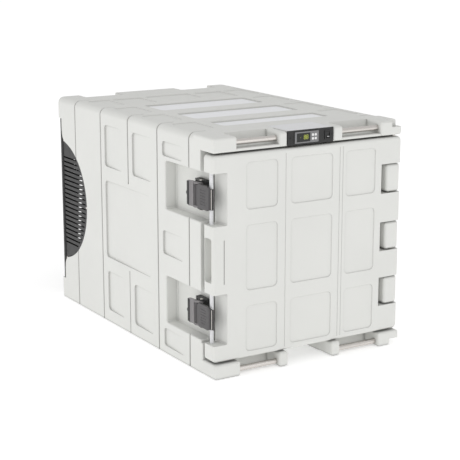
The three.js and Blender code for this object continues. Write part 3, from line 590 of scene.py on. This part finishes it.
def side_relief(face):
    """Recessed panels, deeper towards the rear, on one side of the body."""
    def panel(y0, y1, z0, z1, corner=13, depth=6.0):
        return recess(face, y0, y1, z0, z1, corner, depth, 1.2, 1.2, ramp=(y0, y1))

    def slit(y, z0, z1):
        return recess(face, y - 1.7, y + 1.7, z0, z1, 1.5, 3.6, 1.4, 0.8)

    return [
        panel(531, 649, 499, 628), panel(344, 467, 499, 629), panel(353, 649, 211, 455),
        panel(529, 643, 40, 167), panel(341, 465, 38, 165), panel(163, 282, 588, 630, 10),
        panel(163, 282, 301, 371, 10), panel(160, 280, 24, 78, 10), slit(494, -4, 198),
    ]


WING = {"y": 984.0, "z": 338.0, "radius": 196.0, "joint": 76.0, "flare": 30.0}


def wing_outline(grow, rear):
    """(y, z) points of a half-round wing that flares into the cover's rear edge, above and below."""
    radius = WING["radius"] + grow
    joint = math.radians(WING["joint"])
    start = (WING["y"] - radius * math.cos(joint), radius * math.sin(joint))
    edge = COVER_FRONT + 2 - grow
    bend = (edge, start[1] + (edge - start[0]) / math.tan(joint))
    tip = (edge, radius + WING["flare"])
    upper = [(rear, tip[1])]
    for step in range(9):
        t = step / 8
        upper.append(tuple(
            (1 - t) ** 2 * tip[i] + 2 * t * (1 - t) * bend[i] + t * t * start[i] for i in (0, 1)))
    for step in range(1, 33):
        turn = joint * (1 - step / 32)
        upper.append((WING["y"] - radius * math.cos(turn), radius * math.sin(turn)))
    lower = [(y, -z) for y, z in reversed(upper[:-1])]
    return [(y, WING["z"] + z) for y, z in upper + lower]


def vent_cutter():
    """The opening for the cover's wings, through both sides, with a rounded rim."""
    rim = 2.5
    steps = [(-HALF - 1, rim * 0.76)]
    steps += [(-HALF + rim * (1 - math.sin(a)), rim * (1 - math.cos(a)))
              for a in (math.radians(d) for d in (75, 50, 25, 0))]
    steps += [(-x, grow) for x, grow in reversed(steps)]
    return loft("vent", [
        [at(x, y, z) for y, z in wing_outline(1.5 + grow, REAR + 5)] for x, grow in steps])


TOP_PANEL = {"x0": -177.0, "x1": 187.0, "depth": 5.0, "inset": 8.0}
TOP_PANEL_YS = ((177.0, 262.0), (334.0, 455.0), (530.0, 657.0))


def make_top_reflection_sheets():
    """A thin, paler, bluish sheet in each transverse panel of the top: painted reflection that lightens
    those panels.
    """
    inset, floor = TOP_PANEL["inset"], TOP - TOP_PANEL["depth"]
    for number, (y0, y1) in enumerate(TOP_PANEL_YS, 1):
        sheet = brick(TOP_PANEL["x0"] + inset, TOP_PANEL["x1"] - inset, y0 + inset, y1 - inset,
                      floor + 0.1, floor + 0.9, 0.3, 1)
        finish_piece(sheet, f"top_painted_reflection_{number}", LOOK["inlay"], "cabinet")


def top_relief():
    """Shallow transverse panels, margin pads and step lines of the lid's top."""
    group = []
    for y0, y1 in TOP_PANEL_YS:
        x0, x1, depth = TOP_PANEL["x0"], TOP_PANEL["x1"], TOP_PANEL["depth"]
        group.append(recess("top", x0, x1, y0, y1, 12, depth, 2.0, 1.6))
    for side in (-1, 1):
        for y0, y1 in ((165, 285), (345, 465), (527, 648), (708, 830)):
            x0, x1 = sorted((side * 288, side * 214))
            group.append(recess("top", x0, x1, y0, y1, 10, 2.6, 1.6, 1.4))
    group.append(recess("top", -202, -100, 702, 830, 10, 3.4, 1.8, 1.6))
    group.append(recess("top", -80, 80, 730, 835, 10, 3.4, 1.8, 1.6))
    group.append(recess("top", 100, 202, 702, 830, 10, 3.4, 1.8, 1.6))
    return group


def make_body():
    body = body_solid()
    carve(body, foam_room())
    for group in body_cutters():
        carve(body, *group)
    for z in LATCH_Z.values():
        carve(body, latch_recess(z))
    carve(body, vent_cutter())
    for side in (-1, 1):
        for y in GROOVE_YS:
            carve(body, girdle_groove(y, 45, side=side, z_low=468.0 if y == 494.0 else -4.0))
    carve(body, gather("relief", side_relief("left") + side_relief("right")))
    carve(body, gather("top_relief", top_relief()))
    finish_piece(body, "body_skin", SHELL, "cabinet", ["body_shell"])


# ---------------------------------------------------------------- door
def make_door():
    x0, x1, y0, y1, z0, z1 = span("door_shell")
    door = tube_with_round_ends(x0, x1, z0, z1, y0, y1, 13, 9, 4)
    cuts = []
    for z in LATCH_Z.values():
        notch = [(-HALF - 9, -9), (-272.9, -9), (-285.6, 58), (-HALF - 9, 58)]
        cuts.append(prism(notch, z - 73, z + 73, 3, 3))
    for z in HINGE_Z.values():
        notch = prism([(246, -6), (HALF + 6, -6), (HALF + 6, 56), (269, 56)], z - 43.5, z + 43.5, 1.5)
        cuts.append(notch)
    cuts.append(brick(-HALF - 6, -292, 10, 46, 273, 398, 7, 4))
    cuts.append(rod("z", PIN_X, PIN_Y, 0, 700, 6.1, 32))
    carve(door, *cuts)
    panels = []
    for u0, u1 in ((-214, -111), (-66, 75), (121, 226)):
        for v0, v1 in ((470, 602), (241, 427), (64, 197)):
            panels.append(recess("front", u0, u1, v0, v1, 13, 2.4, 1.2, 0.9))
    for x in (-85, 99, 110):
        panels.append(recess("front", x - 0.9, x + 0.9, 58, 616, 0.8, 1.0, 0.7, 0.3))
    panels.append(recess("front", -286.5, -283.5, 269, 393, 1.4, 2.2, 1.0, 0.5))
    carve(door, gather("panels", panels))
    finish_piece(door, "door_skin", SHELL, "door", ["door_shell"])


def make_lugs():
    for level, z in HINGE_Z.items():
        x0, x1, y0, y1, z0, z1 = span(f"hinge_lug_{level}")
        lug = brick(x0, x1, y0, y1 + 12, z0, z1, 9, 5)
        behind = brick(x0 - 5, x1 + 5, y1, y1 + 20, z0 - 5, z1 + 5)
        carve(lug, behind, rod("z", PIN_X, PIN_Y, 0, 700, 6.3, 32))
        finish_piece(lug, f"hinge_block_{level}", SHELL, "cabinet", [f"hinge_lug_{level}"])
    washers = []
    for z in HINGE_Z.values():
        for side in (-1, 1):
            centre = z + side * 42.5
            washer = rod("z", PIN_X, PIN_Y, centre - 0.7, centre + 0.7, 9.5, 32, 0.3)
            carve(washer, rod("z", PIN_X, PIN_Y, 0, 700, 6.3, 32))
            washers.append(washer)
    finish_piece(gather("washers", washers), "hinge_washers", LOOK["stainless"], "cabinet")


# ---------------------------------------------------------------- bars and keepers
def make_bars():
    for name in frame["nodes"]:
        if not name.startswith("handle_bar"):
            continue
        x0, x1, y0, y1, z0, z1 = span(name)
        bar = rod("x", (y0 + y1) / 2, (z0 + z1) / 2, x0, x1, (z1 - z0) / 2, 56, 0.8)
        finish_piece(bar, f"{name}_tube", LOOK["stainless"], "cabinet", [name])
    for level in LATCH_Z:
        name = f"latch_keeper_{level}"
        x0, x1, y0, y1, z0, z1 = span(name)
        bar = rod("z", (x0 + x1) / 2, (y0 + y1) / 2, z0, z1, (x1 - x0) / 2, 48, 0.5)
        finish_piece(bar, f"{name}_bar", LOOK["cover_plate"], "door", [name])


# ---------------------------------------------------------------- latches
def plate_x(points, x0, x1, radius=0.0, segments=2):
    """An outline in the side view (y, z), drawn across from x0 to x1."""
    bm = bmesh.new()
    low = [bm.verts.new(at(x0, y, z)) for y, z in points]
    high = [bm.verts.new(at(x1, y, z)) for y, z in points]
    bm.faces.new(low)
    bm.faces.new(high)
    for i in range(len(points)):
        j = (i + 1) % len(points)
        bm.faces.new((low[i], low[j], high[j], high[i]))
    if radius:
        bmesh.ops.recalc_face_normals(bm, faces=bm.faces)
        bmesh.ops.bevel(
            bm, geom=list(bm.edges), offset=radius * MM, segments=segments, profile=0.5,
            affect="EDGES", clamp_overlap=True,
        )
    return new_object("plate", bm)


def make_claw(level, z):
    """The claw's cover plate with its hooked front end, and the knuckle on the lever's pin."""
    half = 34.0
    nose_end, front, rear = span(f"latch_claw_{level}")[2], 26.0, 84.0
    outer = -HALF + 1.2
    cover = [
        (front, z - half + 4), (front + 9, z - half), (rear, z - half),
        (rear, z + half), (front + 9, z + half), (front, z + half - 4),
    ]
    claw = plate_x(cover, outer, outer + 6.5, 1.0)
    start, end = (outer + 0.2, front + 1), (-312.4, nose_end)
    nose = prism(
        [start, end, (-310.4, nose_end), (-310.4, front + 5), (outer + 1, front + 5)],
        z - half + 4.5, z + half - 4.5, 0.5,
    )
    neck = brick(outer + 2.2, -310.6, rear - 4, 101, z - 29, z + 29, 0.8, 2)
    pin = span(f"latch_claw_pin_{level}")
    px, py = (pin[0] + pin[1]) / 2, (pin[2] + pin[3]) / 2
    knuckle = rod("z", px, py, z - 29.5, z + 29.5, 4.3, 40, 0.4)
    unite(claw, nose, neck, knuckle)
    grooves = [brick(outer - 3, outer + 0.8, front + 16, rear - 14, z + rise - 1.1, z + rise + 1.1, 0.5, 1)
               for rise in (-20, -12, -4, 4, 12, 20)]
    bore = rod("z", px, py, z - 60, z + 60, 2.28, 32)
    carve(claw, bore, *grooves)
    finish_piece(claw, f"latch_cover_{level}", LOOK["latch_plastic"], f"claw_{level}",
                 [f"latch_claw_{level}"])

    def facet(low, high, out, inward):
        """A slab on the slanted face, between two fractions of its length."""
        run = (end[0] - start[0], end[1] - start[1])
        length = math.hypot(*run)
        normal = (run[1] / length, -run[0] / length)
        return [(start[0] + run[0] * t + normal[0] * d, start[1] + run[1] * t + normal[1] * d)
                for t, d in ((low, -inward), (low, out), (high, out), (high, -inward))]

    pad = prism(facet(0.34, 0.98, 0.4, 0.6), z - half + 5.5, z + half - 5.5, 0.15, 1)
    finish_piece(pad, f"latch_claw_pad_{level}", LOOK["black_plastic"], f"claw_{level}")
    strip = prism(facet(0.6, 0.72, 0.7, 0.1), z - half + 6, z + half - 6, 0.1, 1)
    finish_piece(strip, f"latch_claw_insert_{level}", LOOK["stainless"], f"claw_{level}")


def make_lever(level, z):
    """The lever: a scooped tab that ends in a dark lip, carried by two cheeks on the pivot pin."""
    half = 36.0
    pivot, pin = span(f"latch_pivot_pin_{level}"), span(f"latch_claw_pin_{level}")
    bx, by = (pivot[0] + pivot[1]) / 2, (pivot[2] + pivot[3]) / 2
    cx, cy = (pin[0] + pin[1]) / 2, (pin[2] + pin[3]) / 2
    scoop = [(-319.0, 107.6), (-317.0, 111), (-315.9, 116), (-315.9, 122), (-317.0, 129),
             (-318.6, 133.0), (-319.2, 136.0), (-315.6, 136.0), (-313.0, 130), (-311.4, 124),
             (-310.6, 116), (-310.6, 107.6)]
    tab = prism(scoop, z - half, z + half, 0.7)
    cheeks = []
    for side in (-1, 1):
        low, high = sorted((z + side * 30, z + side * 36))
        web = [(cx - 3.9, cy - 2.5), (bx - 4.5, by - 3.2), (bx + 4.5, by + 3.2), (-310.4, 111),
               (-317.5, 111)]
        cheeks += [
            rod("z", bx, by, low, high, 5.5, 40, 0.5), rod("z", cx, cy, low, high, 4.3, 40, 0.5),
            prism(web, low, high, 0.4, 1),
        ]
    lever = tab
    for cheek in cheeks:
        unite(lever, cheek)
    carve(lever, rod("z", bx, by, z - 60, z + 60, 3.1, 32), rod("z", cx, cy, z - 60, z + 60, 2.5, 32))
    finish_piece(lever, f"latch_handle_{level}", LOOK["lever_plastic"], f"lever_{level}",
                 [f"latch_lever_{level}"])
    lip = brick(-320.3, -312.0, 132.5, 142.0, z - 33.5, z + 33.5, 1.6, 3)
    unite(lip, rod("x", 140.0, z, -320.0, -313.0, 6.0, 32, 0.8))
    finish_piece(lip, f"latch_lip_{level}", LOOK["black_plastic"], f"lever_{level}")


def make_bracket(level, z):
    """A plate screwed to the recess floor, with two ears that hold the lever's pivot pin."""
    x0, x1, y0, y1, z0, z1 = span(f"latch_bracket_{level}")
    pivot = span(f"latch_pivot_pin_{level}")
    bx, by = (pivot[0] + pivot[1]) / 2, (pivot[2] + pivot[3]) / 2
    bracket = brick(x1 - 5, x1, y0, 132, z0, z1, 1.2)
    parts = []
    for low, high in ((z0, z0 + 4), (z1 - 4, z1)):
        ear = [(bx - 5.5, by - 3), (bx - 2, by - 7), (x1 - 2, y0 + 2), (x1 - 2, 130), (bx + 4, 128),
               (bx - 4, by + 10)]
        parts.append(prism(ear, low, high, 0.7))
    parts.append(brick(x1 - 16, x1 - 2, 124, 130, z0 + 1, z1 - 1, 1.0))
    for part in parts:
        unite(bracket, part)
    carve(bracket, rod("z", bx, by, z0 - 5, z1 + 5, 3.3, 32))
    finish_piece(bracket, f"latch_bracket_body_{level}", LOOK["black_plastic"], "cabinet",
                 [f"latch_bracket_{level}"])
    heads = [rod("z", bx, by, low, high, 4.6, 32, 0.5)
             for low, high in ((z1 - 0.2, z1 + 1.8), (z0 - 1.8, z0 + 0.2))]
    finish_piece(gather("heads", heads), f"latch_pin_heads_{level}", LOOK["stainless"],
                 "cabinet")


def make_latches():
    for level, z in LATCH_Z.items():
        make_claw(level, z)
        make_lever(level, z)
        make_bracket(level, z)


# ---------------------------------------------------------------- controls
def make_controls():
    x0, x1, y0, y1, z0, z1 = span("controller_case")
    display = span("controller_display")
    bezel = brick(x0, x1, y0, y0 + 2.7, z0, z1, 1.0, 2)
    unite(bezel, brick(-52.3, 18.3, y0 + 2.5, y1, 640.2, 667.8))
    dx0, dx1, _, dy1, dz0, dz1 = display
    cuts = [brick(dx0 - 0.3, dx1 + 0.3, y0 - 2, dy1 + 0.3, dz0 - 0.3, dz1 + 0.3, 1.0, 2)]
    for name in ("button_set", "button_down", "button_power", "button_up"):
        bx0, bx1, by0, by1, bz0, bz1 = span(name)
        cuts.append(brick(bx0 - 0.25, bx1 + 0.25, y0 - 2, 6, bz0 - 0.25, bz1 + 0.25, 1.3, 3, "y"))
        cap = brick(bx0, bx1, by0, by1, bz0, bz1, 1.2, 3)
        cx, cz = (bx0 + bx1) / 2, (bz0 + bz1) / 2
        carve(cap, rod("y", cx, cz, by0 - 2, by0 + 0.25, 1.1, 24))
        finish_piece(cap, f"{name}_cap", LOOK["button"], name, [name])
    carve(bezel, *cuts)
    finish_piece(bezel, "controller_bezel", LOOK["bezel"], "cabinet", ["controller_case"])
    window = brick(*display[:4], *display[4:], 0.5, 2)
    finish_piece(window, "controller_window", LOOK["display"], "cabinet", ["controller_display"])
    segments = []
    face = display[2]
    for left in (-26.0, -18.0):
        for low in (649.0, 654.5):
            for x in (left, left + 5.0):
                segments.append(brick(x - 0.55, x + 0.55, face - 0.12, face + 0.2, low + 0.5, low + 5.0))
        for z in (649.0, 654.5, 660.0):
            segments.append(brick(left + 0.8, left + 4.2, face - 0.12, face + 0.2, z - 0.5, z + 0.5))
    segments.append(brick(-38.4, -37.2, face - 0.12, face + 0.2, 654.0, 655.0))
    finish_piece(gather("segments", segments), "display_segments", DIGITS, "cabinet")
    mark = brick(52.5, 58.5, -1.05, -0.55, 649.0, 650.4, 0.1, 1)
    finish_piece(mark, "switch_mark", LOOK["button"], "power_switch")
    screws = []
    for x in (-70.0, 69.0):
        head = rod("y", x, 654.0, 0.5, 2.0, 2.6, 32, 0.4)
        carve(head, brick(x - 1.9, x + 1.9, -0.5, 0.95, 653.6, 654.4),
              brick(x - 0.4, x + 0.4, -0.5, 0.95, 652.1, 655.9))
        screws.append(head)
    finish_piece(gather("fascia_screws", screws), "fascia_screw_heads", LOOK["black_plastic"],
                 "cabinet")


# ---------------------------------------------------------------- rear cover
def make_rear_cover():
    x0, x1, y0, y1, z0, z1 = span("rear_cover")
    back = y1
    cover = brick(x0 + 0.5, x1 - 0.5, COVER_FRONT, back, z0, z1, 3.0, 3)
    carve(cover, brick(x0 + 4, x1 - 4, COVER_FRONT - 5, back - 4, z0 + 4, z1 - 4))
    for side in (-1, 1):
        a, b = sorted((side * 312, side * 316))
        wing = plate_x(wing_outline(0.0, COVER_FRONT + 8), a, b, 0.6, 1)
        unite(cover, wing)
    rows = 20
    slots = []
    for row in range(rows):
        z = WING["z"] + (row - (rows - 1) / 2) * 15
        chord = math.sqrt(WING["radius"] ** 2 - (z - WING["z"]) ** 2)
        start = WING["y"] - chord + 14
        slots.append(brick(-HALF - 5, HALF + 5, start, COVER_FRONT - 3, z - 2.6, z + 2.6, 2.5, 4, "x"))
        for x in (-190, 0, 190):
            slots.append(brick(x - 85, x + 85, COVER_FRONT - 2, back + 5, z - 2.6, z + 2.6, 2.5, 4, "y"))
    ix0, ix1, _, _, iz0, iz1 = span("power_inlet")
    slots.append(brick(ix0 - 0.4, ix1 + 0.4, COVER_FRONT - 4, back + 5, iz0 - 0.4, iz1 + 0.4, 2, 2, "y"))
    carve(cover, gather("slots", slots))
    finish_piece(cover, "rear_grille", LOOK["black_plastic"], "cabinet", ["rear_cover"])
    screws = []
    for x in (-304, -95, 95, 304):
        for z in (z0 + 14, z1 - 14):
            head = rod("y", x, z, back - 1, back + 1.6, 5.0, 36, 0.6)
            carve(head, brick(x - 3.4, x + 3.4, back + 0.7, back + 5, z - 0.7, z + 0.7),
                  brick(x - 0.7, x + 0.7, back + 0.7, back + 5, z - 3.4, z + 3.4))
            screws.append(head)
    for side in (-1, 1):
        for y, z in ((795, 338), (952, 535), (952, 141)):
            a, b = sorted((side * 315.5, side * 317.6))
            screws.append(rod("x", y, z, a, b, 3.4, 32, 0.5))
    finish_piece(gather("cover_screws", screws), "cover_screw_heads", LOOK["stainless"],
                 "cabinet")


DIGITS = glowing("display_digits", (0.55, 0.62, 0.08), 0.35)

make_camera()
make_studio()
dress_cad_nodes()
make_body()
make_top_reflection_sheets()
make_door()
make_lugs()
make_bars()
make_latches()
make_controls()
make_rear_cover()
